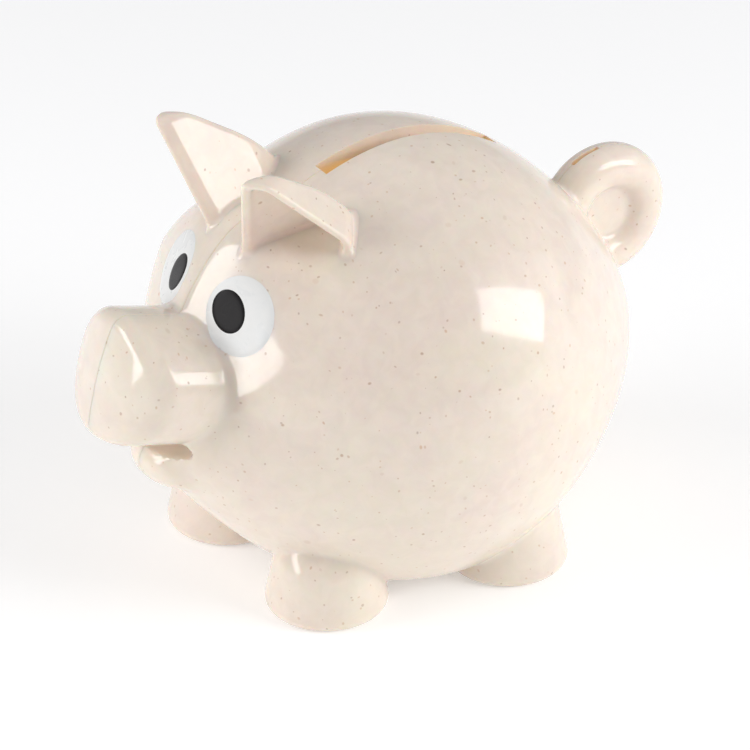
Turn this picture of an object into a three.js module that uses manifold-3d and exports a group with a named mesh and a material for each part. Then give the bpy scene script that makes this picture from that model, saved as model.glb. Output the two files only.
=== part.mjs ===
// A pig-shaped coin bank: two moulded shell halves that meet on the middle
// plane, two folded ears set into the head, two printed eyes and a soft
// stopper in the belly.
// Millimetres. The snout faces -Y, the pig's left side is +X, +Z is up and
// the four feet stand on z = 0.
import * as THREE from 'three';
import { mergeVertices } from 'three/addons/utils/BufferGeometryUtils.js';
import Module from 'manifold-3d';

const wasm = await Module();
wasm.setup();

// ---------------------------------------------------------------- sizes

// body: one egg, turned about a long axis that rises towards the snout
const BODY_R = 50;             // widest radius of the egg
const BODY_HALF_LENGTH = 59;   // half the egg's length
const BODY_SHIFT = -4.5;       // egg centre, towards the tail when negative
const BODY_HEIGHT = 43;        // height of the egg's axis above the floor
const BODY_PITCH = 6.5;        // degrees the axis rises towards the snout
const EGG_SKEW = 0.07;         // how much slimmer the front is than the back
const EGG_POINT = 0.35;        // how conical the two ends are
const WALL = 2.6;              // thickness of the moulded wall
const BODY_SCALE = [0.97, 0.985];  // width and height of the section against BODY_R
const BELLY_LIFT = 5;          // gap between the flat belly and the floor
const JOINT_GAP = 0.3;         // gap left between the two halves
const FIT_GAP = 0.3;           // gap round every inserted piece

// tongue on the left half that enters a groove in the right half
const TONGUE_THICK = 1.1;
const TONGUE_REACH = 1.8;

// snout: a barrel that tilts up
const SNOUT_R = 13.4;          // half its height
const SNOUT_WIDEN = 1.25;      // its width against its height
const SNOUT_BEND = 28;         // radius its front face is bent back to, side to side
const SNOUT_PROUD = 7.5;       // how far its front face stands ahead of the egg's tip
const SNOUT_RISE = 14.3;       // height of its front face above the egg's axis
const SNOUT_PITCH = 16.5;      // degrees its front face tilts up
const SNOUT_ROUND = 3;         // rounding of its front edge
const SNOUT_DEPTH = 27;        // length of the barrel, most of it inside the egg

// lower lip and the mouth line above it
const LIP_BACK = 14.5;         // lip centre behind the egg's tip
const LIP_DROP = 8.8;          // and below the egg's axis
const LIP_RADII = [12.5, 13, 7.6];
const MOUTH_BACK = 1;          // centre of the mouth cut behind the egg's tip
const MOUTH_DROP = 1.6;        // and below the egg's axis
const MOUTH_RADII = [11, 8.5, 2.4];
const MOUTH_PITCH = 14;

// feet
const FOOT_R = 12.6;           // radius at the floor
const FOOT_TOP_R = 10.8;       // radius where it leaves the body
const FOOT_ROUND = 2.4;
const FOOT_TOP = 19;           // how far up it runs into the body
const FOOT_FRONT = [46.57, 1.27];  // degrees round the stopper, and gap to its flange
const FOOT_REAR = [37.57, 5.7];

// tail: a fat ring closed by a thin web
const TAIL_SETBACK = 2.3;      // ring centre inside the egg's rear end
const TAIL_RISE = 16;          // ring centre above the egg's axis
const TAIL_RING_R = 9.5;
const TAIL_TUBE_R = 5.5;
const TAIL_WEB = 3;

// coin slot
const SLOT_WIDTH = 4.6;
const SLOT_FRONT = -9;
const SLOT_BACK = 32.5;

// eyes
const EYE_AZIMUTH = 28;        // degrees of the eye from the upright, round the egg
const EYE_BACK = 15.5;         // distance of the eye's centre behind the egg's tip
const WHITE_RADII = [9.3, 7.6];
const WHITE_THICK = 0.8;
const PUPIL_RADII = [5, 4.1];
const PUPIL_OFFSET = [-1.6, -1.2];
const PUPIL_THICK = 0.6;
const EYE_UP = [0.25, -0.69, -0.68];  // up the oval, in the egg's own axes
const EYE_PROUD = 0.1;         // how far each print stands above what carries it

// ears: a folded leaf; a section swept up the front edge, under a slanted roof
const EAR_AZIMUTH = 11.5;      // degrees of the ear's root from the upright, round the egg
const EAR_BACK = 18.6;         // distance of the root behind the egg's tip
const EAR_LIFT = 4.9;          // height of the root above the egg
const EAR_UP = [10, -6, 21];   // direction of the left ear's front edge
const EAR_OPEN = [0.68, -0.553, -0.482];  // direction the hollow faces
const EAR_HEIGHT = 25;
const EAR_WIDTH = 22;
const EAR_DEPTH = 8.4;
const EAR_WALL = 1.9;
const EAR_SLOPE = 0.35;        // how much the roof drops towards the back of the hollow
const EAR_SINK = 9;            // how far the section starts below the root
const TAB_WIDTH = 7;           // tab that holds the ear in the head
const TAB_THICK = 1.5;
const TAB_REACH = 5;

// belly stopper
const HOLE_R = 11.5;
const PLUG_LIP = 3;            // how far the flange reaches past the hole
const PLUG_FLANGE = 1.5;
const PLUG_WALL = 1.6;
const PLUG_HEIGHT = 5.4;
const PLUG_Y = 0;

// facets
const AROUND = 40;             // facets round the egg
const ALONG = 22;              // facets along the egg
const INNER_AROUND = 32;
const INNER_ALONG = 16;

const RAD = Math.PI / 180;
const EGG_TIP = BODY_SHIFT + BODY_HALF_LENGTH;   // front end of the egg
const EGG_END = BODY_HALF_LENGTH - BODY_SHIFT;   // rear end of the egg
const PLUG_FLANGE_R = HOLE_R + PLUG_LIP;

// -------------------------------------------------------------- helpers

function solid(geometry) {
  geometry.deleteAttribute('normal');
  geometry.deleteAttribute('uv');
  const merged = mergeVertices(geometry, 1e-4);
  const mesh = new wasm.Mesh({
    numProp: 3,
    vertProperties: Float32Array.from(merged.attributes.position.array),
    triVerts: Uint32Array.from(merged.index.array),
  });
  return new wasm.Manifold(mesh);
}

function placed(geometry, matrix) {
  geometry.applyMatrix4(matrix);
  return solid(geometry);
}

function join(...solids) {
  return solids.reduce((a, b) => a.add(b));
}

// matrix from three axes and an origin
function frameMatrix(x, y, z, origin) {
  return new THREE.Matrix4().makeBasis(x, y, z).setPosition(origin);
}

// ellipsoid with its own pitch about X
function ellipsoid(centre, radii, pitch, segments) {
  const matrix = new THREE.Matrix4()
    .makeRotationX(-pitch * RAD)
    .setPosition(...centre)
    .scale(new THREE.Vector3(...radii));
  return placed(new THREE.SphereGeometry(1, segments, segments / 2), matrix);
}

// half space x > at or x < at, as a large box
function side(sign, at) {
  const size = 300;
  const matrix = new THREE.Matrix4().makeTranslation(at + sign * size / 2, 0, 0);
  return placed(new THREE.BoxGeometry(size, size, size), matrix);
}

function above(height) {
  const size = 300;
  const matrix = new THREE.Matrix4().makeTranslation(0, 0, height + size / 2);
  return placed(new THREE.BoxGeometry(size, size, size), matrix);
}

function toMesh(name, manifold, material) {
  const mesh = manifold.getMesh();
  const geometry = new THREE.BufferGeometry();
  const position = new Float32Array(mesh.numVert * 3);
  for (let i = 0; i < mesh.numVert; i += 1) {
    for (let k = 0; k < 3; k += 1) {
      position[i * 3 + k] = mesh.vertProperties[i * mesh.numProp + k];
    }
  }
  geometry.setAttribute('position', new THREE.BufferAttribute(position, 3));
  geometry.setIndex(new THREE.BufferAttribute(Uint32Array.from(mesh.triVerts), 1));
  const out = new THREE.Mesh(geometry, material);
  out.name = name;
  return out;
}

function plastic(colour, roughness) {
  return new THREE.MeshStandardMaterial({ color: colour, roughness, metalness: 0 });
}

// ----------------------------------------------------------------- body

// radius of the egg at s, where s runs from -1 (tail) to 1 (snout)
function eggRadius(s) {
  const round = Math.sqrt(Math.max(0, 1 - s * s));
  return BODY_R * round * (1 - EGG_SKEW * s - EGG_POINT * s * s);
}

// turns the lathe's own axis (+Y) towards the snout and pitches it up
function bodyMatrix() {
  const forward = new THREE.Vector3(0, -Math.cos(BODY_PITCH * RAD), Math.sin(BODY_PITCH * RAD));
  const across = new THREE.Vector3(1, 0, 0);
  const third = new THREE.Vector3().crossVectors(across, forward);
  const matrix = frameMatrix(across, forward, third, new THREE.Vector3(0, 0, BODY_HEIGHT));
  return matrix.scale(new THREE.Vector3(BODY_SCALE[0], 1, BODY_SCALE[1]));
}

// the egg, grown (or shrunk when negative) by an offset
function egg(offset, around, along) {
  const profile = [];
  for (let i = 0; i <= along; i += 1) {
    const s = -Math.cos(Math.PI * i / along);
    const edge = i === 0 || i === along;
    const scaleR = (BODY_R + offset) / BODY_R;
    const y = BODY_SHIFT + s * (BODY_HALF_LENGTH + offset);
    profile.push(new THREE.Vector2(edge ? 0 : eggRadius(s) * scaleR, y));
  }
  return placed(new THREE.LatheGeometry(profile, around), bodyMatrix());
}

// barrel of the snout; inset makes the smaller solid that hollows it
function snout(inset) {
  const radius = SNOUT_R - inset;
  const round = Math.max(0.8, SNOUT_ROUND - inset);
  const front = -inset;
  const steps = 3;
  const profile = [new THREE.Vector2(0, -SNOUT_DEPTH)];
  profile.push(new THREE.Vector2(radius * 0.94, -SNOUT_DEPTH));
  profile.push(new THREE.Vector2(radius, -SNOUT_DEPTH / 2));
  for (let i = 0; i <= steps; i += 1) {
    const a = Math.PI / 2 * i / steps;
    const r = radius - round + round * Math.cos(a);
    profile.push(new THREE.Vector2(r, front - 1.2 - round + round * Math.sin(a)));
  }
  profile.push(new THREE.Vector2(radius * 0.45, front - 0.35));
  profile.push(new THREE.Vector2(0, front));
  const forward = new THREE.Vector3(0, -Math.cos(SNOUT_PITCH * RAD), Math.sin(SNOUT_PITCH * RAD));
  const across = new THREE.Vector3(1, 0, 0);
  const third = new THREE.Vector3().crossVectors(across, forward);
  const origin = new THREE.Vector3(0, -EGG_TIP - SNOUT_PROUD, BODY_HEIGHT + SNOUT_RISE);
  const geometry = new THREE.LatheGeometry(profile, 28);
  const widen = (SNOUT_R * SNOUT_WIDEN - inset) / radius;
  geometry.scale(widen, 1, 1);
  const points = geometry.attributes.position;
  for (let i = 0; i < points.count; i += 1) {
    const x = points.getX(i);
    points.setY(i, points.getY(i) - x * x / (2 * SNOUT_BEND));
  }
  return placed(geometry, frameMatrix(across, forward, third, origin));
}

// one foot; inset makes the smaller solid that hollows it
function foot(x, y, inset) {
  const steps = 3;
  const bottom = inset;
  const round = Math.max(0.6, FOOT_ROUND - inset);
  const radius = FOOT_R - inset;
  const profile = [new THREE.Vector2(0, bottom)];
  for (let i = 0; i <= steps; i += 1) {
    const a = Math.PI / 2 * (1 - i / steps);
    const r = radius - round + round * Math.cos(a);
    profile.push(new THREE.Vector2(r, bottom + round - round * Math.sin(a)));
  }
  profile.push(new THREE.Vector2(FOOT_TOP_R - inset, FOOT_TOP));
  profile.push(new THREE.Vector2(0, FOOT_TOP));
  const geometry = new THREE.LatheGeometry(profile, 24);
  geometry.rotateX(Math.PI / 2);
  geometry.translate(x, y, 0);
  return solid(geometry);
}

// the tail's ring lies in the middle plane; the web closes its eye
function tail() {
  const profile = [];
  const steps = 10;
  for (let i = 0; i <= steps; i += 1) {
    const a = 2 * Math.PI * i / steps;
    const r = TAIL_RING_R + TAIL_TUBE_R * Math.cos(a);
    profile.push(new THREE.Vector2(r, TAIL_TUBE_R * Math.sin(a)));
  }
  const ring = new THREE.LatheGeometry(profile, 24);
  const web = new THREE.CylinderGeometry(TAIL_RING_R, TAIL_RING_R, TAIL_WEB, 24);
  const matrix = new THREE.Matrix4()
    .makeRotationZ(Math.PI / 2)
    .setPosition(0, EGG_END - TAIL_SETBACK, BODY_HEIGHT + TAIL_RISE);
  return placed(ring, matrix).add(placed(web, matrix));
}

// the feet stand round the stopper, clear of its flange
function eachFoot(inset) {
  const feet = [];
  for (const [[angle, gap], end] of [[FOOT_FRONT, -1], [FOOT_REAR, 1]]) {
    const reach = PLUG_FLANGE_R + gap + FOOT_R;
    const x = reach * Math.cos(angle * RAD);
    const y = PLUG_Y + end * reach * Math.sin(angle * RAD);
    feet.push(foot(x, y, inset), foot(-x, y, inset));
  }
  return join(...feet);
}

const bodyEgg = egg(0, AROUND, ALONG);
const clearEgg = egg(FIT_GAP, AROUND, ALONG);
const cavityEgg = egg(-WALL, INNER_AROUND, INNER_ALONG);

const flatBelly = above(BELLY_LIFT);
const lipCentre = [0, -EGG_TIP + LIP_BACK, BODY_HEIGHT - LIP_DROP];
const mouthCentre = [0, -EGG_TIP + MOUTH_BACK, BODY_HEIGHT - MOUTH_DROP];
const mouthBack = MOUTH_RADII.map((r) => r + WALL);
const lip = ellipsoid(lipCentre, LIP_RADII, 0, 20);
const mouth = ellipsoid(mouthCentre, MOUTH_RADII, MOUTH_PITCH, 20);
const outside = join(bodyEgg.intersect(flatBelly), lip, snout(0), tail())
  .subtract(mouth)
  .add(eachFoot(0));

// the snout and the feet are hollow, and the mouth keeps a wall of its own
const cavity = join(cavityEgg.intersect(above(BELLY_LIFT + WALL)), snout(WALL))
  .subtract(ellipsoid(mouthCentre, mouthBack, MOUTH_PITCH, 16))
  .add(eachFoot(WALL));

// ------------------------------------------------------------ coin slot

const slotLength = SLOT_BACK - SLOT_FRONT;
const slotCut = placed(
  new THREE.BoxGeometry(SLOT_WIDTH, slotLength, 40),
  new THREE.Matrix4().makeTranslation(0, (SLOT_BACK + SLOT_FRONT) / 2, BODY_HEIGHT + BODY_R),
);

// --------------------------------------------------------- belly stopper

const holeCut = placed(
  new THREE.CylinderGeometry(HOLE_R, HOLE_R, 30, 32).rotateX(Math.PI / 2),
  new THREE.Matrix4().makeTranslation(0, PLUG_Y, BELLY_LIFT),
);

function plug() {
  const top = BELLY_LIFT - FIT_GAP;
  const bottom = top - PLUG_FLANGE;
  const r = HOLE_R - FIT_GAP;
  const crown = top + PLUG_HEIGHT;
  const inner = r - PLUG_WALL;
  const profile = [
    [0, top - 0.2],
    [inner, top - 0.2],
    [inner, bottom],
    [PLUG_FLANGE_R - 0.5, bottom],
    [PLUG_FLANGE_R, bottom + 0.5],
    [PLUG_FLANGE_R, top],
    [r, top],
    [r, crown - 0.8],
    [r - 0.6, crown],
    [inner, crown],
    [inner, top + PLUG_WALL],
    [0, top + PLUG_WALL],
  ].map(([x, y]) => new THREE.Vector2(x, y));
  const geometry = new THREE.LatheGeometry(profile, 32).rotateX(Math.PI / 2);
  geometry.translate(0, PLUG_Y, 0);
  return solid(geometry);
}

// ----------------------------------------------------------------- eyes

// a point of the egg in its own axes, a given distance behind its tip
function onEgg(sign, azimuth, back, lift) {
  const s = 1 - back / BODY_HALF_LENGTH;
  const a = azimuth * RAD;
  const radial = new THREE.Vector3(sign * Math.sin(a), 0, -Math.cos(a));
  const centre = radial.clone().multiplyScalar(eggRadius(s) + lift).setY(EGG_TIP - back);
  return { s, radial, centre };
}

// matrix at the eye's centre on the egg: x across, y up, z outward
function eyeMatrix(sign) {
  const { s, radial, centre } = onEgg(sign, EYE_AZIMUTH, EYE_BACK, 0);
  const step = 0.01;
  const slope = (eggRadius(s + step) - eggRadius(s - step)) / (2 * step * BODY_HALF_LENGTH);
  const normal = radial.clone().setY(-slope).normalize();
  const upward = new THREE.Vector3(...EYE_UP);
  upward.x *= sign;
  upward.addScaledVector(normal, -upward.dot(normal)).normalize();
  const across = new THREE.Vector3().crossVectors(upward, normal);
  const local = frameMatrix(across, upward, normal, centre);
  return bodyMatrix().multiply(local);
}

// an oval prism standing on the eye's tangent plane
function oval(sign, radii, offset, grow) {
  const geometry = new THREE.CylinderGeometry(1, 1, 16, 28).rotateX(Math.PI / 2);
  geometry.scale(radii[0] + grow, radii[1] + grow, 1);
  geometry.translate(sign * offset[0], offset[1], 0);
  return placed(geometry, eyeMatrix(sign));
}

function eye(sign) {
  const whiteOval = oval(sign, WHITE_RADII, [0, 0], 0);
  const whitePocket = oval(sign, WHITE_RADII, [0, 0], FIT_GAP);
  const pupilOval = oval(sign, PUPIL_RADII, PUPIL_OFFSET, 0);
  const pupilPocket = oval(sign, PUPIL_RADII, PUPIL_OFFSET, FIT_GAP);
  const floor = EYE_PROUD - WHITE_THICK - PUPIL_THICK;
  const white = egg(EYE_PROUD, AROUND, ALONG)
    .subtract(egg(floor, AROUND, ALONG))
    .intersect(whiteOval);
  const pocket = whitePocket.subtract(egg(floor - FIT_GAP, AROUND, ALONG));
  const dish = pupilPocket.subtract(egg(2 * EYE_PROUD - PUPIL_THICK - FIT_GAP, AROUND, ALONG));
  const pupil = egg(2 * EYE_PROUD, AROUND, ALONG)
    .subtract(egg(2 * EYE_PROUD - PUPIL_THICK, AROUND, ALONG))
    .intersect(pupilOval);
  return { white: white.subtract(dish), pupil, pocket };
}

// ----------------------------------------------------------------- ears

// ear axes: x up the front edge, y across towards the tail, z behind the opening
function earMatrix(sign) {
  const up = new THREE.Vector3(...EAR_UP).normalize();
  const open = new THREE.Vector3(...EAR_OPEN).normalize();
  open.addScaledVector(up, -open.dot(up)).normalize();
  const across = new THREE.Vector3().crossVectors(up, open);
  const behind = open.negate();
  const root = onEgg(1, EAR_AZIMUTH, EAR_BACK, EAR_LIFT).centre.applyMatrix4(bodyMatrix());
  const matrix = frameMatrix(up, across, behind, root);
  return sign > 0 ? matrix : new THREE.Matrix4().makeScale(-1, 1, 1).multiply(matrix);
}

function polygonShape(points, round) {
  const shape = new THREE.Shape();
  const n = points.length;
  for (let i = 0; i < n; i += 1) {
    const here = new THREE.Vector2(...points[i]);
    const before = new THREE.Vector2(...points[(i + n - 1) % n]);
    const after = new THREE.Vector2(...points[(i + 1) % n]);
    const r = round[i];
    const start = here.clone().add(before.sub(here).setLength(r));
    const end = here.clone().add(after.sub(here).setLength(r));
    if (i === 0) {
      shape.moveTo(start.x, start.y);
    } else {
      shape.lineTo(start.x, start.y);
    }
    shape.quadraticCurveTo(here.x, here.y, end.x, end.y);
  }
  shape.closePath();
  return shape;
}

// section of the ear across its front edge: x across, y depth behind the opening
function earSection(inset) {
  const w = EAR_WIDTH - inset;
  const d = EAR_DEPTH - inset;
  const lead = inset * 1.9;
  return polygonShape(
    [[lead, 0], [lead, 2 - inset * 0.2], [w * 0.68, d + 2], [w, d + 1.2], [w, 0]],
    [0.1, 0.4, 3.2, 2.2, 0.1],
  );
}

// outline of the ear on the plane of its opening
function earOutline(inset) {
  const h = EAR_HEIGHT - inset;
  const w = EAR_WIDTH - inset;
  const low = -EAR_SINK - (inset > 0 ? 1 : 0);
  const front = inset > 0 ? 0.2 : -0.1;
  return polygonShape(
    [[low, front], [h, front], [h - 1.2, 6.5 - inset * 0.5], [7.5 - inset, w], [low, w]],
    [0.1, 1.2, 3, 3, 0.1],
  );
}

function earBlock(inset) {
  const section = new THREE.ExtrudeGeometry(earSection(inset), {
    depth: EAR_HEIGHT + EAR_SINK + 6,
    bevelEnabled: false,
    curveSegments: 4,
  });
  // section x -> across, section y -> behind the opening, extrusion -> up
  const turn = new THREE.Matrix4().makeBasis(
    new THREE.Vector3(0, 1, 0),
    new THREE.Vector3(0, 0, 1),
    new THREE.Vector3(1, 0, 0),
  );
  section.applyMatrix4(turn);
  section.translate(-EAR_SINK - 3, 0, -2);
  const outline = new THREE.ExtrudeGeometry(earOutline(inset), {
    depth: 30,
    bevelEnabled: false,
    curveSegments: 4,
  });
  outline.translate(0, 0, -15);
  outline.applyMatrix4(new THREE.Matrix4().set(
    1, 0, -EAR_SLOPE, 0,
    0, 1, 0, 0,
    0, 0, 1, 0,
    0, 0, 0, 1,
  ));
  return solid(section).intersect(solid(outline));
}

// tab under the back wall of the ear
function earTab(grow) {
  const box = new THREE.BoxGeometry(2 * TAB_REACH, TAB_WIDTH + 2 * grow, TAB_THICK + 2 * grow);
  const lean = Math.atan2(EAR_DEPTH, EAR_WIDTH * 0.68);
  box.rotateX(lean);
  box.translate(-TAB_REACH * 0.2, 8.2, EAR_DEPTH * 0.42);
  return solid(box);
}

function ear(sign) {
  const hollow = earBlock(EAR_WALL);
  const slab = earBlock(0);
  const opening = solid(new THREE.BoxGeometry(90, 90, 20).translate(0, 0, -10));
  const leaf = slab.subtract(opening).subtract(hollow);
  const matrix = earMatrix(sign);
  const local = Array.from(matrix.elements);
  const cast = (m) => m.transform(local);
  return {
    leaf: cast(leaf).subtract(clearEgg).add(cast(earTab(0))),
    mortise: cast(earTab(FIT_GAP)),
  };
}

// --------------------------------------------------------------- shells

const leftEye = eye(1);
const rightEye = eye(-1);
const leftEar = ear(1);
const rightEar = ear(-1);

const whole = outside
  .subtract(cavity)
  .subtract(slotCut)
  .subtract(holeCut)
  .subtract(leftEye.pocket)
  .subtract(rightEye.pocket)
  .subtract(leftEar.mortise)
  .subtract(rightEar.mortise);

const tongueBand = egg(-WALL + TONGUE_THICK, INNER_AROUND, INNER_ALONG)
  .intersect(above(BELLY_LIFT + WALL - TONGUE_THICK))
  .subtract(cavity)
  .subtract(slotCut)
  .subtract(holeCut);
const grooveBand = egg(-WALL + TONGUE_THICK + FIT_GAP, INNER_AROUND, INNER_ALONG)
  .intersect(above(BELLY_LIFT + WALL - TONGUE_THICK - FIT_GAP));

const half = JOINT_GAP / 2;
const tongue = tongueBand.intersect(side(1, -TONGUE_REACH)).intersect(side(-1, 1));
const groove = grooveBand.intersect(side(1, -TONGUE_REACH - FIT_GAP)).intersect(side(-1, 1));

const leftShell = whole.intersect(side(1, half)).add(tongue);
const rightShell = whole.intersect(side(-1, -half)).subtract(groove);

// ---------------------------------------------------------------- group

const group = new THREE.Group();
group.name = 'piggy_bank';
const shellColour = 0xe9dcc6;
group.add(toMesh('body_shell_left', leftShell, plastic(shellColour, 0.25)));
group.add(toMesh('body_shell_right', rightShell, plastic(shellColour, 0.25)));
group.add(toMesh('ear_left', leftEar.leaf, plastic(shellColour, 0.25)));
group.add(toMesh('ear_right', rightEar.leaf, plastic(shellColour, 0.25)));
group.add(toMesh('eye_white_left', leftEye.white, plastic(0xf4f4f2, 0.3)));
group.add(toMesh('eye_white_right', rightEye.white, plastic(0xf4f4f2, 0.3)));
group.add(toMesh('pupil_left', leftEye.pupil, plastic(0x0c0c0c, 0.15)));
group.add(toMesh('pupil_right', rightEye.pupil, plastic(0x0c0c0c, 0.15)));
group.add(toMesh('belly_plug', plug(), plastic(0xe8e8e6, 0.45)));

// the origin sits on the floor under the middle of the part's own box
const box = new THREE.Box3().setFromObject(group);
const shift = -(box.min.y + box.max.y) / 2;
for (const mesh of group.children) {
  mesh.geometry.translate(0, shift, 0);
}

export default group;
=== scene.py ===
import math

import bmesh
import bpy
import numpy as np
from mathutils import Matrix, Quaternion, Vector


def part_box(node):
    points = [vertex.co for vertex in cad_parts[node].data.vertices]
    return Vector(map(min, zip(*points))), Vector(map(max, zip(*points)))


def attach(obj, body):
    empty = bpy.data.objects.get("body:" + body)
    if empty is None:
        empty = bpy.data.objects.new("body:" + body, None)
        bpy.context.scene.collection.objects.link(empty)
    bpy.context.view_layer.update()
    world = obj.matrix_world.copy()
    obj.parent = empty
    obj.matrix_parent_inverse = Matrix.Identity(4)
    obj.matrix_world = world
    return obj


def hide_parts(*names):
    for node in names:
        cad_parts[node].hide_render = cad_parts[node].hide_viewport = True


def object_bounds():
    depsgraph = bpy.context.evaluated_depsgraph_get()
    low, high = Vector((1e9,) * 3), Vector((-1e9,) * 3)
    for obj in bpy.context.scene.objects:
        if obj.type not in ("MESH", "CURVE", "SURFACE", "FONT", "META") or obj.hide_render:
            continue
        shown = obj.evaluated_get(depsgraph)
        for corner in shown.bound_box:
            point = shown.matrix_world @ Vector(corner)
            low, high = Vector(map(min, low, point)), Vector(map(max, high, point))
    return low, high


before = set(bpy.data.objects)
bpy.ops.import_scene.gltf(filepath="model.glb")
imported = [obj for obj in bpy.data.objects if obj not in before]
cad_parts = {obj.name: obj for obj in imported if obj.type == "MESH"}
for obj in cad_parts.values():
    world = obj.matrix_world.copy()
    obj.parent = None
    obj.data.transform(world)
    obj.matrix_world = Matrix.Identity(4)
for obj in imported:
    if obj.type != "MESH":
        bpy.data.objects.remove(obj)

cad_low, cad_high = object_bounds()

# ---------------------------------------------------------------- camera
# A long lens at a little under a metre, looking down on the pig's left cheek.
# The snout points to the lower left and the tail to the upper right.
AZIMUTH = math.radians(56.84)
ELEVATION = math.radians(30.29)
DISTANCE = 0.93646
LOOK_AT = Vector((0, -0.0021, 0.0365))

back = Vector((
    math.sin(AZIMUTH) * math.cos(ELEVATION),
    -math.cos(AZIMUTH) * math.cos(ELEVATION),
    math.sin(ELEVATION),
))
lens = bpy.data.cameras.new("camera")
lens.lens = 216.06
lens.sensor_width = 36
lens.clip_start = 0.05
camera = bpy.data.objects.new("camera", lens)
camera.location = LOOK_AT + back * DISTANCE
camera.rotation_mode = "QUATERNION"
camera.rotation_quaternion = (-back).to_track_quat("-Z", "Y")
bpy.context.collection.objects.link(camera)
bpy.context.scene.camera = camera
bpy.context.scene.view_settings.view_transform = "Standard"


# ---------------------------------------------------------------- studio
# A white seamless sweep in a bright room. A slanting strip light stands ahead
# of the pig's right cheek, a softbox with a wide dim one round it stands off
# its left flank, and a large soft one hangs overhead.
FLOOR_SIZE = 6.0
FLOOR_WHITE = (0.93, 0.93, 0.935, 1)
FLOOR_GREY = (0.92, 0.92, 0.925, 1)
FLOOR_GLOW = 0.26
ROOM_LIGHT = 0.34
ROOM_WHITE = (0.985, 0.99, 1, 1)
LAMPS_AIM = Vector((0, 0, 0.05))


def feed(tree, socket, value):
    """Links an input from another socket, or sets it to a value."""
    if isinstance(value, bpy.types.NodeSocket):
        tree.links.new(value, socket)
    else:
        socket.default_value = value


def link_node(tree, kind, **inputs):
    """A new shader node with its named inputs fed."""
    node = tree.nodes.new(kind)
    for name, value in inputs.items():
        feed(tree, node.inputs[name.replace("_", " ")], value)
    return node


def ramp(tree, factor, stops):
    """A colour ramp from (position, colour) stops."""
    node = tree.nodes.new("ShaderNodeValToRGB")
    tree.links.new(factor, node.inputs["Fac"])
    band = node.color_ramp.elements
    while len(band) < len(stops):
        band.new(0.5)
    for element, (position, colour) in zip(band, stops):
        element.position = position
        element.color = colour
    return node.outputs["Color"]


def new_material(name):
    """A material with its node tree and its Principled shader."""
    material = bpy.data.materials.new(name)
    material.use_nodes = True
    return material, material.node_tree, material.node_tree.nodes["Principled BSDF"]


floor_paint, tree, paper = new_material("sweep_paper")
mottle = link_node(tree, "ShaderNodeTexNoise", Scale=3.0, Detail=2.0)
paper_tone = ramp(tree, mottle.outputs["Fac"], [(0.3, FLOOR_GREY), (0.7, FLOOR_WHITE)])
tree.links.new(paper_tone, paper.inputs["Base Color"])
paper.inputs["Roughness"].default_value = 0.7
paper.inputs["Specular IOR Level"].default_value = 0.2
tree.links.new(paper_tone, paper.inputs["Emission Color"])
paper.inputs["Emission Strength"].default_value = FLOOR_GLOW

sweep = bpy.data.meshes.new("floor")
half = FLOOR_SIZE / 2
corners = [(-half, -half, 0), (half, -half, 0), (half, half, 0), (-half, half, 0)]
sweep.from_pydata(corners, [], [(0, 1, 2, 3)])
sweep.materials.append(floor_paint)
floor = bpy.data.objects.new("floor", sweep)
floor.location.z = cad_low.z
bpy.context.collection.objects.link(floor)

room = bpy.data.worlds.new("room")
room.use_nodes = True
walls = room.node_tree.nodes["Background"]
walls.inputs["Color"].default_value = ROOM_WHITE
walls.inputs["Strength"].default_value = ROOM_LIGHT
bpy.context.scene.world = room


def softbox(name, direction, distance, width, height, roll, watts):
    """A rectangular light aimed at the pig, turned about its own axis."""
    data = bpy.data.lights.new(name, "AREA")
    data.shape = "RECTANGLE"
    data.size = width
    data.size_y = height
    data.energy = watts
    lamp = bpy.data.objects.new(name, data)
    towards = Vector(direction).normalized()
    lamp.location = LAMPS_AIM + towards * distance
    lamp.rotation_mode = "QUATERNION"
    turn = Quaternion((0, 0, 1), math.radians(roll))
    lamp.rotation_quaternion = towards.to_track_quat("Z", "Y") @ turn
    bpy.context.collection.objects.link(lamp)


softbox("softbox_front", (-0.28, -0.88, 0.37), 0.75, 0.19, 0.7, 45, 2.8)
softbox("softbox_flank", (0.70, 0.60, 0.40), 0.8, 0.27, 0.58, 54, 2.7)
softbox("flank_halo", (0.58, 0.72, 0.38), 1.1, 0.7, 1.25, 54, 2.6)
softbox("softbox_top", (-0.1, 0.15, 1.0), 0.9, 0.9, 0.9, 0, 1.2)


# ----------------------------------------------------------- body shells
# Two moulded halves of speckled cream bioplastic, joined on the middle
# plane. Snout, lower lip, four feet and the ring tail are moulded with them;
# the wall is 2.6 mm thick and a coin slot is cut through the back.

# Lengths are in mm and directions are (forward, across, up) from the middle
# of the belly hole on the floor.
MM = 0.001
BODY_R = 50
BODY_HALF_LENGTH = 59
BODY_SHIFT = -4.5
BODY_HEIGHT = 43
BODY_PITCH = math.radians(6.5)
BODY_WIDE = 0.97
BODY_TALL = 0.985
BODY_TAPER = 0.07
BODY_POINT = 0.35
WALL = 2.6
BELLY = 5
BELLY_EDGE = 1.0
BROW_RISE = 5
BROW_FADE = (17, 32)
BROW_FROM = 50
BROW_BLEND = 15
FACE_AT = (37.0, 9.77, 68.98)
FACE_NORMAL = (0.84, 0.364, 0.402)
FACE_ROUND = 6
SNOUT_R = 13.4
SNOUT_WIDEN = 1.25
SNOUT_BEND = 28
SNOUT_DOME = 1.2
SNOUT_AT = (62, 57.3)
SNOUT_PITCH = math.radians(16.5)
SNOUT_ROUND = 3
SNOUT_DEPTH = 27
SNOUT_FILLET = 1.4
LIP_AT = (40, 34.2)
LIP_RADII = (13, 12.5, 7.6)
LIP_FILLET = 1.5
MOUTH_AT = (53.0, 41.2)
MOUTH_RADII = (10.5, 14, 3.0)
MOUTH_PITCH = math.radians(14)
MOUTH_EDGE = 0.8
FEET = [(20.6, 19.5), (-20, 26)]
FOOT_R = 13.2
FOOT_TAPER = 0.2
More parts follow.
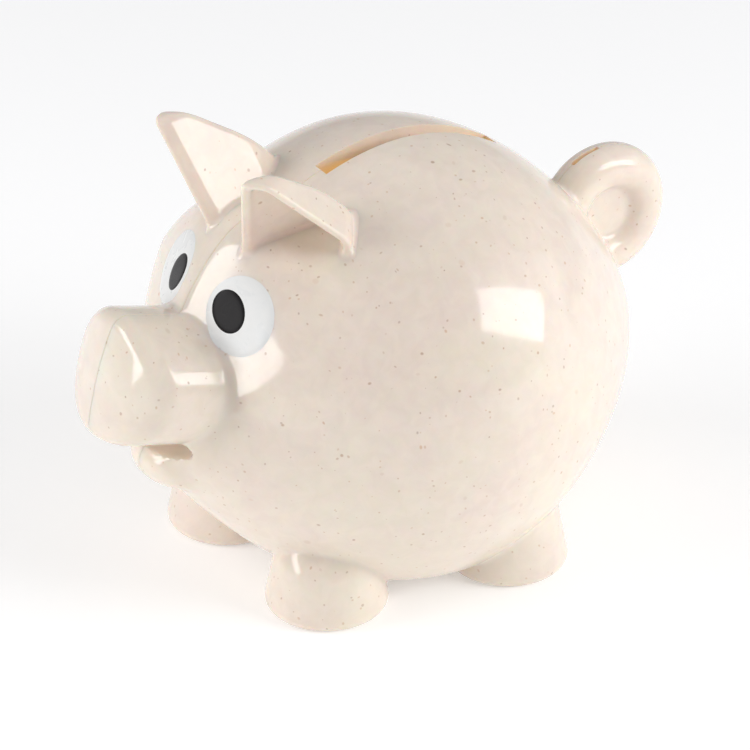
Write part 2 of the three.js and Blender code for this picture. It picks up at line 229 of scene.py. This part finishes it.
FOOT_ROUND = 2.4
FOOT_TOP = 16.5
FOOT_SHOULDER = 6.0
FOOT_FILLET = 1.2
TAIL_AT = (-61.2, 59)
TAIL_RING_R = 10.1
TAIL_TUBE_R = 4.9
TAIL_WEB = 4.6
TAIL_WEB_FILLET = 1.2
TAIL_FILLET = 1.6
TAIL_SLIT = (-60, -53.4)
TAIL_SLIT_WIDTH = 1.1
TAIL_SLIT_FLOOR = 69.5
SLOT_WIDTH = 4.3
SLOT_ENDS = (-32.5, 9)
SLOT_RIM = 2.6
SLOT_RIM_REACH = 4
SLOT_RIM_FROM = 60
SLOT_RIM_BLEND = 10
SEAM = 0.02
SEAM_CHAMFER = 0.1
SEAM_DROP = 0.8
SEAM_PAINTED_GLOW = 0.3
REACH = 120
HOLE_R = 11.5
HOLE_SIDES = 96
CELL = 0.75

plug_low, plug_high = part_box("belly_plug")
MIDDLE_Y = (plug_low.y + plug_high.y) / 2 / MM


def soft_min(a, b, fillet):
    """The union of two solids with a fillet where they meet."""
    near = np.maximum(fillet - np.abs(a - b), 0) / fillet
    return np.minimum(a, b) - near * near * fillet / 4


def soft_max(a, b, fillet):
    """The part that two solids share, with a rounded edge."""
    return -soft_min(-a, -b, fillet)


def tilted(f, z, centre, pitch):
    """Forward and up distances from a centre, along axes pitched up."""
    df = f - centre[0]
    dz = z - centre[1]
    return df * math.cos(pitch) + dz * math.sin(pitch), dz * math.cos(pitch) - df * math.sin(pitch)


def egg(f, x, z):
    """The body: a round egg lying along the pig, a little blunter behind."""
    along, up = tilted(f, z, (0, BODY_HEIGHT), BODY_PITCH)
    s = (along - BODY_SHIFT) / BODY_HALF_LENGTH
    bound = np.clip(s, -1.15, 1.15)
    slim = 1 - BODY_TAPER * bound - BODY_POINT * bound * bound
    across = np.hypot(x / BODY_WIDE, up / BODY_TALL) / (BODY_R * slim)
    return BODY_R * (np.hypot(s, across) - 1)


def head(f, x, z):
    """The egg with a raised brow, cut by a steep face plane on each side."""
    fade = np.clip((f - BROW_FADE[0]) / (BROW_FADE[1] - BROW_FADE[0]), 0, 1)
    brow = BROW_RISE * fade * fade * (3 - 2 * fade) * np.clip((z - BROW_FROM) / BROW_BLEND, 0, 1)
    aside = np.sqrt(x * x + 1.0)
    face = (
        FACE_NORMAL[0] * (f - FACE_AT[0])
        + FACE_NORMAL[1] * (aside - FACE_AT[1])
        + FACE_NORMAL[2] * (z - FACE_AT[2])
    )
    return soft_max(egg(f, x, z) - brow, face, FACE_ROUND)


def barrel(f, x, z):
    """The snout: an oval drum with a domed face that bends back at its sides."""
    ahead, up = tilted(f, z, SNOUT_AT, SNOUT_PITCH)
    ahead = ahead + x * x / (2 * SNOUT_BEND)
    out = np.hypot(x / SNOUT_WIDEN, up)
    ahead = ahead + SNOUT_DOME * (out / SNOUT_R) ** 2
    side = out - (SNOUT_R - SNOUT_ROUND)
    front = ahead + SNOUT_ROUND
    rounded = np.hypot(np.maximum(side, 0), np.maximum(front, 0))
    drum = rounded + np.minimum(np.maximum(side, front), 0) - SNOUT_ROUND
    return np.maximum(drum, -ahead - SNOUT_DEPTH)


def ellipsoid(f, x, z, centre, radii, pitch=0.0):
    """An ellipsoid with its radii forward, across and up."""
    ahead, up = tilted(f, z, centre, pitch)
    a, b, c = radii
    size = np.sqrt((ahead / a) ** 2 + (x / b) ** 2 + (up / c) ** 2)
    slope = np.sqrt((ahead / a ** 2) ** 2 + (x / b ** 2) ** 2 + (up / c ** 2) ** 2)
    return size * (size - 1) / np.maximum(slope, 1e-6)


def foot(f, x, z, centre):
    """A pair of stub feet, narrower upwards, with a round sole edge and shoulder."""
    out = np.hypot(f - centre[0], np.abs(x) - centre[1]) + z * FOOT_TAPER
    side = out - (FOOT_R - FOOT_ROUND)
    under = FOOT_ROUND - z
    rounded = np.hypot(np.maximum(side, 0), np.maximum(under, 0))
    drum = rounded + np.minimum(np.maximum(side, under), 0) - FOOT_ROUND
    return soft_max(drum, z - FOOT_TOP, FOOT_SHOULDER)


def ring_tail(f, x, z):
    """The curled tail: a ring with a thin web across its middle."""
    out = np.hypot(f - TAIL_AT[0], z - TAIL_AT[1])
    ring = np.hypot(out - TAIL_RING_R, x) - TAIL_TUBE_R
    web = np.maximum(np.abs(x) - TAIL_WEB / 2, out - TAIL_RING_R)
    return soft_min(ring, web, TAIL_WEB_FILLET)


def mouth(f, x, z):
    """The flat hollow between the snout and the lower lip."""
    return ellipsoid(f, x, z, MOUTH_AT, MOUTH_RADII, MOUTH_PITCH)


def outside(f, x, z):
    """Signed distance to the pig's skin, negative inside the plastic."""
    body = soft_max(head(f, x, z), BELLY - z, BELLY_EDGE)
    body = soft_min(body, ellipsoid(f, x, z, LIP_AT, LIP_RADII), LIP_FILLET)
    body = soft_min(body, barrel(f, x, z), SNOUT_FILLET)
    body = soft_min(body, ring_tail(f, x, z), TAIL_FILLET)
    body = soft_max(body, -mouth(f, x, z), MOUTH_EDGE)
    for centre in FEET:
        body = soft_min(body, foot(f, x, z, centre), FOOT_FILLET)
    return body


def cavity(f, x, z):
    """The hollow inside, a wall in from the skin and more beside the slot."""
    beside = np.clip(2 - np.abs(x) / SLOT_RIM_REACH, 0, 1)
    rim = SLOT_RIM * beside * np.clip((z - SLOT_RIM_FROM) / SLOT_RIM_BLEND, 0, 1)
    hollow = np.maximum(head(f, x, z) + WALL + rim, BELLY + WALL - z)
    hollow = np.minimum(hollow, barrel(f, x, z) + WALL)
    hollow = np.maximum(hollow, WALL - mouth(f, x, z))
    for centre in FEET:
        hollow = np.minimum(hollow, foot(f, x, z, centre) + WALL)
    return hollow


def settle(points, field, steps):
    """Moves points onto the surface where the field is zero."""
    step = 0.02
    for _ in range(steps):
        value = field(*points.T)
        slope = np.empty_like(points)
        for axis in range(3):
            shift = np.zeros(3)
            shift[axis] = step
            slope[:, axis] = (field(*(points + shift).T) - field(*(points - shift).T)) / (2 * step)
        size = np.maximum((slope * slope).sum(1), 0.05)
        move = np.clip(value / size, -CELL, CELL)
        points = points - slope * move[:, None]
    return points


def skin(field, low, high):
    """A closed quad mesh of the surface where the field is zero."""
    grid = [np.arange(a, b + CELL, CELL) for a, b in zip(low, high)]
    value = field(grid[0][:, None, None], grid[1][None, :, None], grid[2][None, None, :])
    inside = value < 0
    corners = np.zeros([n - 1 for n in inside.shape], np.int8)
    for i in (0, 1):
        for j in (0, 1):
            for k in (0, 1):
                corners += inside[
                    i:corners.shape[0] + i, j:corners.shape[1] + j, k:corners.shape[2] + k
                ]
    active = (corners > 0) & (corners < 8)
    number = np.full(corners.shape, -1)
    number[active] = np.arange(active.sum())
    points = (np.argwhere(active) + 0.5) * CELL + np.array(low)
    quads = []
    for axis in range(3):
        node = np.moveaxis(inside, axis, 0)
        cell = np.moveaxis(number, axis, 0)
        i, j, k = np.argwhere(node[1:, 1:-1, 1:-1] != node[:-1, 1:-1, 1:-1]).T
        quad = np.stack([cell[i, j, k], cell[i, j + 1, k], cell[i, j + 1, k + 1], cell[i, j, k + 1]], 1)
        turn = node[i, j + 1, k + 1] == (axis == 1)
        quad[turn] = quad[turn][:, ::-1]
        quads.append(quad)
    quads = np.concatenate(quads)
    start = quads.ravel()
    end = np.roll(quads, -1, 1).ravel()
    count = np.bincount(start, minlength=len(points))
    points = settle(points, field, 3)
    for _ in range(4):
        total = [np.bincount(start, points[end, axis], len(points)) for axis in range(3)]
        points = settle(np.stack(total, 1) / count[:, None], field, 1)
    return settle(points, field, 2), quads


def place(points):
    """From (forward, across, up) in mm to the frame's metres."""
    f, x, z = np.asarray(points, float).T
    return np.stack([x, MIDDLE_Y - f, z], 1) * MM


def new_mesh(name, points, faces):
    """A mesh from points in the frame's metres."""
    mesh = bpy.data.meshes.new(name)
    mesh.from_pydata(np.asarray(points).tolist(), [], faces)
    return mesh


def new_object(mesh):
    """An object in the scene that carries a mesh and its name."""
    thing = bpy.data.objects.new(mesh.name, mesh)
    bpy.context.collection.objects.link(thing)
    return thing


def face_outwards(mesh):
    """Turns every face of a closed mesh to the outside."""
    made = bmesh.new()
    made.from_mesh(mesh)
    bmesh.ops.recalc_face_normals(made, faces=made.faces)
    made.to_mesh(mesh)
    made.free()


def carve(thing, cutter):
    """Cuts one closed solid out of another and discards the cutter."""
    cut = thing.modifiers.new("cut", "BOOLEAN")
    cut.operation = "DIFFERENCE"
    cut.solver = "MANIFOLD"
    cut.object = cutter
    bpy.context.view_layer.update()
    seen = thing.evaluated_get(bpy.context.evaluated_depsgraph_get())
    mesh = bpy.data.meshes.new_from_object(seen)
    thing.modifiers.clear()
    thing.data = mesh
    bpy.data.objects.remove(cutter)


def prism(name, outline, low, high):
    """A closed prism over a (forward, across) outline, between two heights."""
    n = len(outline)
    points = [(f, x, z) for z in (low, high) for f, x in outline]
    faces = [list(range(n))[::-1], list(range(n, 2 * n))]
    faces += [[i, (i + 1) % n, n + (i + 1) % n, n + i] for i in range(n)]
    mesh = new_mesh(name, place(points), faces)
    face_outwards(mesh)
    return new_object(mesh)


def rectangle(ends, width):
    """A (forward, across) outline between two ends, on the middle plane."""
    half = width / 2
    return [(ends[0], -half), (ends[1], -half), (ends[1], half), (ends[0], half)]


def shade(thing, sharp=35):
    """Smooth shading that keeps edges sharper than an angle crisp."""
    for face in thing.data.polygons:
        face.use_smooth = True
    thing.data.set_sharp_from_angle(angle=math.radians(sharp))


points, quads = skin(outside, (-80, -53, -3), (68, 53, 96))
whole = new_object(new_mesh("whole", place(points), quads.tolist()))
points, quads = skin(cavity, (-64, -50, 1), (62, 50, 93))
carve(whole, new_object(new_mesh("hollow", place(points), quads.tolist())))
carve(whole, prism("slot", rectangle(SLOT_ENDS, SLOT_WIDTH), 70, 100))
carve(whole, prism("tail_slit", rectangle(TAIL_SLIT, TAIL_SLIT_WIDTH), TAIL_SLIT_FLOOR, 80))
turns = [2 * math.pi * i / HOLE_SIDES for i in range(HOLE_SIDES)]
carve(whole, prism("hole", [(HOLE_R * math.cos(a), HOLE_R * math.sin(a)) for a in turns], -5, 20))


def split_half(thing, name):
    """The left half of a closed solid, with a small chamfer along the joint."""
    side = [(-REACH, -REACH), (REACH, -REACH), (REACH, SEAM), (-REACH, SEAM)]
    carve(thing, prism("right_side", side, -REACH, REACH))
    made = bmesh.new()
    made.from_mesh(thing.data)
    bmesh.ops.bisect_plane(
        made, geom=made.verts[:] + made.edges[:] + made.faces[:], dist=1e-7,
        plane_co=((SEAM + SEAM_CHAMFER) * MM, 0, 0), plane_no=(1, 0, 0),
    )
    made.normal_update()
    for v in made.verts:
        inward = Vector((0, -v.normal.y, -v.normal.z))
        on_joint = abs(v.co.x - SEAM * MM) < 1e-6
        if on_joint and inward.length > 0.05:
            v.co += inward.normalized() * SEAM_CHAMFER * MM * SEAM_DROP
    mesh = bpy.data.meshes.new(name)
    made.to_mesh(mesh)
    made.free()
    return mesh


def add_depth(mesh):
    """How deep each point lies in the wall, from 0 on the skin to 1 inside, raised along the joint so
    that the painted glow shows there as a warm line.
    """
    count = len(mesh.vertices)
    flat = np.empty(count * 3)
    mesh.vertices.foreach_get("co", flat)
    x, y, z = flat.reshape(-1, 3).T / MM
    depth = np.clip(-outside(MIDDLE_Y - y, x, z) / WALL, 0, 1)
    depth = np.where(x < SEAM + 0.005, np.maximum(depth, SEAM_PAINTED_GLOW), depth)
    mesh.attributes.new("depth", "FLOAT", "POINT").data.foreach_set("value", depth)


def mirrored(mesh, name):
    """The same mesh on the pig's other side."""
    other = mesh.copy()
    other.name = name
    other.transform(Matrix.Diagonal((-1, 1, 1, 1)))
    other.flip_normals()
    return other


left_mesh = split_half(whole, "body_shell_left_skin")
add_depth(left_mesh)
right_mesh = mirrored(left_mesh, "body_shell_right_skin")
bpy.data.objects.remove(whole)


def new_group(name, inputs, outputs):
    """An empty shader node group with float inputs and named outputs."""
    group = bpy.data.node_groups.new(name, "ShaderNodeTree")
    for label, value in inputs:
        socket = group.interface.new_socket(label, in_out="INPUT", socket_type="NodeSocketFloat")
        socket.default_value = value
    for label, kind in outputs:
        group.interface.new_socket(label, in_out="OUTPUT", socket_type=kind)
    return group, group.nodes.new("NodeGroupInput"), group.nodes.new("NodeGroupOutput")


def maths(tree, operation, a, b=0.0, clamp=False):
    """The result of one sum on sockets or numbers."""
    node = tree.nodes.new("ShaderNodeMath")
    node.operation = operation
    node.use_clamp = clamp
    feed(tree, node.inputs[0], a)
    feed(tree, node.inputs[1], b)
    return node.outputs[0]


def mix(tree, factor, a, b):
    """One colour laid over another."""
    node = tree.nodes.new("ShaderNodeMix")
    node.data_type = "RGBA"
    feed(tree, node.inputs[0], factor)
    feed(tree, node.inputs[6], a)
    feed(tree, node.inputs[7], b)
    return node.outputs[2]


def object_place(tree):
    """Where a point lies on the pig, in metres."""
    return tree.nodes.new("ShaderNodeTexCoord").outputs["Object"]


# Fibre specks: one in some of the cells of a bent cell pattern.
specks, given, result = new_group(
    "fibre_specks",
    [("Scale", 300.0), ("Share", 0.3), ("Size", 0.3)],
    [("Mask", "NodeSocketFloat"), ("Tone", "NodeSocketFloat")],
)
spot = object_place(specks)
bend = link_node(specks, "ShaderNodeTexNoise", Vector=spot, Scale=160.0, Detail=1.0)
bent = specks.nodes.new("ShaderNodeVectorMath")
bent.operation = "MULTIPLY_ADD"
specks.links.new(bend.outputs["Color"], bent.inputs[0])
bent.inputs[1].default_value = (0.003, 0.003, 0.003)
specks.links.new(spot, bent.inputs[2])
cells = link_node(
    specks, "ShaderNodeTexVoronoi",
    Vector=bent.outputs[0], Scale=given.outputs["Scale"], Randomness=1.0,
)
pick = link_node(specks, "ShaderNodeSeparateColor", Color=cells.outputs["Color"])
chosen = maths(specks, "LESS_THAN", pick.outputs["Red"], given.outputs["Share"])
larger = maths(specks, "ADD", pick.outputs["Green"], 0.35)
span = maths(specks, "MULTIPLY", given.outputs["Size"], larger)
out = maths(specks, "DIVIDE", cells.outputs["Distance"], span)
edge = maths(specks, "SUBTRACT", 1.0, out, clamp=True)
soft = maths(specks, "MULTIPLY", edge, 2.2, clamp=True)
specks.links.new(maths(specks, "MULTIPLY", soft, chosen), result.inputs["Mask"])
specks.links.new(pick.outputs["Blue"], result.inputs["Tone"])

# Clouding: soft patches where the pigment or the film is thicker.
clouds, given, result = new_group("clouding", [("Scale", 60.0)], [("Mask", "NodeSocketFloat")])
drift = link_node(
    clouds, "ShaderNodeTexNoise",
    Vector=object_place(clouds), Scale=given.outputs["Scale"],
    Detail=3.0, Roughness=0.55, Distortion=0.6,
)
cloud_band = clouds.nodes.new("ShaderNodeMapRange")
clouds.links.new(drift.outputs["Fac"], cloud_band.inputs["Value"])
cloud_band.inputs["From Min"].default_value = 0.35
cloud_band.inputs["From Max"].default_value = 0.65
clouds.links.new(cloud_band.outputs["Result"], result.inputs["Mask"])

# Ripple: the height of fine unevenness in a moulded or printed surface.
ripple, given, result = new_group(
    "fine_ripple", [("Scale", 900.0), ("Detail", 2.0)], [("Height", "NodeSocketFloat")],
)
waves = link_node(
    ripple, "ShaderNodeTexNoise",
    Vector=object_place(ripple), Scale=given.outputs["Scale"], Detail=given.outputs["Detail"],
)
ripple.links.new(waves.outputs["Fac"], result.inputs["Height"])


def place_group(tree, group, **values):
    """A group set into a material with its own values."""
    node = tree.nodes.new("ShaderNodeGroup")
    node.node_tree = group
    for name, value in values.items():
        node.inputs[name].default_value = value
    return node.outputs


GLOW_FROM = 60
GLOW_FADE = 15


def painted_glow_colour(tree, depth, glow):
    """Painted glow: an emission colour that stands in for daylight falling in at the slot and leaving
    through the wall round it, strongest deep in the wall and above a height.
    """
    spot = link_node(tree, "ShaderNodeSeparateXYZ", Vector=object_place(tree))
    above = maths(tree, "SUBTRACT", spot.outputs["Z"], GLOW_FROM * MM)
    lit = maths(tree, "MULTIPLY", above, 1 / (GLOW_FADE * MM), clamp=True)
    return mix(tree, maths(tree, "MULTIPLY", depth, lit), (0, 0, 0, 1), glow)


def set_gloss(tree, shader, cloud, low, high):
    """Roughness that drifts between two values."""
    rough = link_node(tree, "ShaderNodeMapRange", Value=cloud, To_Min=low, To_Max=high)
    tree.links.new(rough.outputs["Result"], shader.inputs["Roughness"])


def set_ripple(tree, shader, scale, detail, strength, height):
    """A fine unevenness, so many ripples to the metre and so high in metres."""
    waves = place_group(tree, ripple, Scale=scale, Detail=detail)["Height"]
    bump = link_node(tree, "ShaderNodeBump", Strength=strength, Distance=height, Height=waves)
    tree.links.new(bump.outputs["Normal"], shader.inputs["Normal"])


def set_soak(shader, weight, radius, scale):
    """How much light enters the plastic, and how far each colour travels."""
    shader.inputs["Subsurface Weight"].default_value = weight
    shader.inputs["Subsurface Radius"].default_value = radius
    shader.inputs["Subsurface Scale"].default_value = scale


PINK_CREAM = (0.825, 0.715, 0.635, 1)
YELLOW_CREAM = (0.845, 0.765, 0.65, 1)
PALE_CREAM = (0.93, 0.83, 0.73, 1)
DARK_FIBRE = (0.30, 0.13, 0.06, 1)
STRAW_FIBRE = (0.62, 0.36, 0.16, 1)
PAINTED_WARM_GLOW = (0.90, 0.60, 0.18, 1)
# Cells to the metre, share of cells with a speck, its size and its strength.
SPECK_SIZES = ((330.0, 0.5, 0.12, 0.5), (700.0, 0.3, 0.2, 0.4), (150.0, 0.4, 0.1, 0.14))

shell_plastic, tree, bioplastic = new_material("shell_plastic")
colour = mix(tree, place_group(tree, clouds, Scale=45.0)["Mask"], PINK_CREAM, YELLOW_CREAM)
fine = place_group(tree, clouds, Scale=260.0)["Mask"]
colour = mix(tree, maths(tree, "MULTIPLY", fine, 0.42), colour, PALE_CREAM)
for scale, share, size, strength in SPECK_SIZES:
    speck = place_group(tree, specks, Scale=scale, Share=share, Size=size)
    tone = mix(tree, speck["Tone"], DARK_FIBRE, STRAW_FIBRE)
    colour = mix(tree, maths(tree, "MULTIPLY", speck["Mask"], strength), colour, tone)
# Painted light: the deeper a point lies in the wall (the slot's sides, the hollow inside and the
# joint), the more its colour turns warm orange, and high up it also glows. This stands in for light
# shining through the thin plastic.
depth = tree.nodes.new("ShaderNodeAttribute")
depth.attribute_name = "depth"
painted_glow_mask = maths(tree, "POWER", depth.outputs["Fac"], 1.2)
colour = mix(tree, maths(tree, "MULTIPLY", painted_glow_mask, 0.85), colour, PAINTED_WARM_GLOW)
tree.links.new(colour, bioplastic.inputs["Base Color"])
tree.links.new(painted_glow_colour(tree, painted_glow_mask, PAINTED_WARM_GLOW), bioplastic.inputs["Emission Color"])
bioplastic.inputs["Emission Strength"].default_value = 0.42
bioplastic.inputs["IOR"].default_value = 1.5
set_soak(bioplastic, 0.45, (1.0, 0.45, 0.22), 0.0025)
set_gloss(tree, bioplastic, place_group(tree, clouds, Scale=120.0)["Mask"], 0.07, 0.13)
set_ripple(tree, bioplastic, 110.0, 1.0, 0.25, 0.0004)

for node, mesh in (("body_shell_left", left_mesh), ("body_shell_right", right_mesh)):
    shell = new_object(mesh)
    mesh.materials.append(shell_plastic)
    shade(shell)
    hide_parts(node)
    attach(shell, "bank")


# ------------------------------------------------------------------ ears
# A folded leaf of the same plastic on each side of the head, about 1.8 mm
# thick, open towards the front and held by a tab that enters the shell.
EAR_ROOT = (32, 6.5, 79.3)
EAR_UP = (6, 10, 21)
EAR_OPEN = (0.553, 0.68, -0.482)
EAR_TIP = 24.6
EAR_WIDTH = 22
EAR_WALL = 1.8
EAR_SLOPE = 0.35
EAR_FILLET = 1.3
EAR_DEEP = 1.6
EAR_SINK = 0.04
EAR_OUTER_ROUND = 2.0
EAR_INNER_ROUND = 1.5
EAR_RIM = 0.9
# Slanting walls: a normal along two axes, and a point on the wall.
EAR_FOLD = ((-0.488, 0.873), (0, 2))
EAR_BACK = ((0.113, 0.993), (15, 10.4))
EAR_CORNER = ((0.689, 0.725), (EAR_TIP - 1, 6.5))

ear_up = Vector(EAR_UP).normalized()
ear_open = Vector(EAR_OPEN)
ear_open = (ear_open - ear_up * ear_open.dot(ear_up)).normalized()
# Up the front edge, across towards the tail and back from the opening.
EAR_AXES = np.array([ear_up, ear_up.cross(ear_open), -ear_open])


def slant(a, b, wall):
    """Distance out from a slanting wall."""
    normal, point = wall
    return normal[0] * (a - point[0]) + normal[1] * (b - point[1])


def hood(up, across, behind, inset, round_edge):
    """The convex block of the ear, its walls moved in by an inset."""
    lean = up + EAR_SLOPE * behind
    walls = [
        slant(across, behind, EAR_FOLD),
        slant(across, behind, EAR_BACK),
        across - EAR_WIDTH,
        lean - EAR_TIP,
        slant(lean, across, EAR_CORNER),
    ]
    block = inset - across
    for wall in walls:
        block = soft_max(block, wall + inset, round_edge)
    return block


def ear(f, x, z):
    """The left ear: a hollow hood, filleted to the skin, with its tab below."""
    point = (f - EAR_ROOT[0], x - EAR_ROOT[1], z - EAR_ROOT[2])
    up, across, behind = (sum(a * p for a, p in zip(axis, point)) for axis in EAR_AXES)
    leaf = soft_max(hood(up, across, behind, 0, EAR_OUTER_ROUND), -behind, EAR_RIM)
    leaf = soft_max(leaf, -hood(up, across, behind, EAR_WALL, EAR_INNER_ROUND), EAR_RIM)
    skin_below = outside(f, x, z) + EAR_SINK
    joined = soft_min(leaf, skin_below, EAR_FILLET)
    return np.maximum(np.maximum(joined, leaf - EAR_FILLET), -skin_below - EAR_DEEP)


CELL = 0.38
points, quads = skin(ear, (6, -2, 70), (44, 32, 106))
left_mesh = new_mesh("ear_left_leaf", place(points), quads.tolist())
right_mesh = mirrored(left_mesh, "ear_right_leaf")
for node, mesh in (("ear_left", left_mesh), ("ear_right", right_mesh)):
    leaf = new_object(mesh)
    mesh.materials.append(shell_plastic)
    shade(leaf, 60)
    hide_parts(node)
    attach(leaf, "bank")


# ------------------------------------------------------------------ eyes
# Pad prints on the head: a white oval and a black oval pupil set low and
# towards the snout, each a film of ink that follows the skin.
EYE_UP = (-0.088, -0.64, 0.763)
WHITE_RADII = (8.1, 7.9)
WHITE_OFFSET = (2.1, -1.7)
PUPIL_RADII = (4.8, 4.05)
WHITE_LIFT = 0.14
PUPIL_LIFT = 0.24
FILM_DEPTH = 0.5
RINGS = 14
SPOKES = 72

# Outward from the left pupil's centre, then up and across the print.
eye_out = Vector(FACE_NORMAL).normalized()
eye_up = Vector(EYE_UP)
eye_up = (eye_up - eye_out * eye_up.dot(eye_out)).normalized()
eye_across = eye_up.cross(eye_out)


def ink_film(name, radii, offset, lift, mirror):
    """An oval film that lies on the skin and thins out at its edge."""
    disc = [(0.0, 0.0, 0.0)]
    for i in range(1, RINGS + 1):
        reach = i / RINGS
        for j in range(SPOKES):
            a = 2 * math.pi * j / SPOKES
            disc.append((reach * math.cos(a), reach * math.sin(a), reach))
    disc = np.array(disc)
    top = (
        np.array(FACE_AT)
        + np.outer(disc[:, 0] * radii[1] + offset[0], eye_across)
        + np.outer(disc[:, 1] * radii[0] + offset[1], eye_up)
    )
    for _ in range(6):
        top = top - np.outer(outside(*top.T), eye_out)
    upper = top + np.outer(lift * (1 - disc[:, 2] ** 12), eye_out)
    lower = top - FILM_DEPTH * np.array(eye_out)
    count = len(disc)
    faces = []
    for j in range(SPOKES):
        k = (j + 1) % SPOKES
        faces.append([0, 1 + j, 1 + k])
        for i in range(RINGS - 1):
            a = 1 + i * SPOKES
            faces.append([a + j, a + SPOKES + j, a + SPOKES + k, a + k])
    faces += [[count + i for i in face[::-1]] for face in faces]
    edge = 1 + (RINGS - 1) * SPOKES
    for j in range(SPOKES):
        k = (j + 1) % SPOKES
        faces.append([edge + k, edge + j, count + edge + j, count + edge + k])
    points = np.concatenate([upper, lower])
    if mirror:
        points[:, 1] *= -1
    mesh = new_mesh(name, place(points), faces)
    face_outwards(mesh)
    film = new_object(mesh)
    shade(film, 50)
    return film


def ink(name, thick, thin, low, high, shine):
    """Printed ink: a slightly uneven film with its own gloss."""
    material, tree, film = new_material(name)
    cloud = place_group(tree, clouds, Scale=220.0)["Mask"]
    tree.links.new(mix(tree, cloud, thick, thin), film.inputs["Base Color"])
    film.inputs["Specular IOR Level"].default_value = shine
    set_gloss(tree, film, cloud, low, high)
    set_ripple(tree, film, 900.0, 2.0, 0.04, 0.0001)
    return material


white_ink = ink("eye_white_print", (0.80, 0.81, 0.81, 1), (0.84, 0.84, 0.83, 1), 0.25, 0.32, 0.3)
black_ink = ink("pupil_print", (0.012, 0.011, 0.012, 1), (0.018, 0.016, 0.017, 1), 0.24, 0.3, 0.08)
for side, mirror in (("left", False), ("right", True)):
    white = ink_film(f"eye_white_{side}_film", WHITE_RADII, WHITE_OFFSET, WHITE_LIFT, mirror)
    white.data.materials.append(white_ink)
    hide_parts(f"eye_white_{side}")
    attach(white, "bank")
    pupil = ink_film(f"pupil_{side}_film", PUPIL_RADII, (0, 0), PUPIL_LIFT, mirror)
    pupil.data.materials.append(black_ink)
    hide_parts(f"pupil_{side}")
    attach(pupil, "bank")


# --------------------------------------------------------------- stopper
# A soft translucent stopper pressed into the round hole in the belly; its
# flange lies under the shell and its cup is gripped by the hole's edge.
PLUG_STEPS = 96
# Half its section, as distances out and up: flange first, then the cup.
PLUG_PROFILE = [
    (0, 4.5), (8.6, 4.5), (9.1, 4.3), (9.3, 3.9), (9.5, 3.4), (9.9, 3.22), (14.0, 3.22), (14.35, 3.35),
    (14.48, 3.7), (14.48, 4.3), (14.3, 4.6), (13.9, 4.69), (11.4, 4.69), (11.2, 4.9), (11.2, 9.2),
    (11.0, 9.8), (10.5, 10.08), (10.0, 9.95), (9.62, 9.5), (9.6, 6.8), (9.3, 6.4), (8.8, 6.3), (0, 6.3),
]

lathe = bmesh.new()
rings = []
for i in range(PLUG_STEPS):
    a = 2 * math.pi * i / PLUG_STEPS
    rings.append([
        lathe.verts.new(Vector((r * math.cos(a), MIDDLE_Y + r * math.sin(a), z)) * MM)
        for r, z in PLUG_PROFILE[1:-1]
    ])
for i, ring in enumerate(rings):
    after = rings[(i + 1) % PLUG_STEPS]
    for j in range(len(ring) - 1):
        lathe.faces.new([ring[j], after[j], after[j + 1], ring[j + 1]])
lathe.faces.new([ring[0] for ring in rings])
lathe.faces.new([ring[-1] for ring in rings])
bmesh.ops.recalc_face_normals(lathe, faces=lathe.faces)
plug_mesh = bpy.data.meshes.new("belly_plug_cup")
lathe.to_mesh(plug_mesh)
lathe.free()
plug = new_object(plug_mesh)

MILKY_GREY = (0.78, 0.79, 0.77, 1)
MILKY_WHITE = (0.85, 0.85, 0.83, 1)
rubber, tree, milky = new_material("stopper_rubber")
cloud = place_group(tree, clouds, Scale=90.0)["Mask"]
tree.links.new(mix(tree, cloud, MILKY_GREY, MILKY_WHITE), milky.inputs["Base Color"])
milky.inputs["Roughness"].default_value = 0.42
set_soak(milky, 0.4, (1.0, 0.9, 0.8), 0.002)
set_ripple(tree, milky, 1500.0, 2.0, 0.25, 0.0001)
plug_mesh.materials.append(rubber)
shade(plug, 40)
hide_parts("belly_plug")
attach(plug, "stopper")
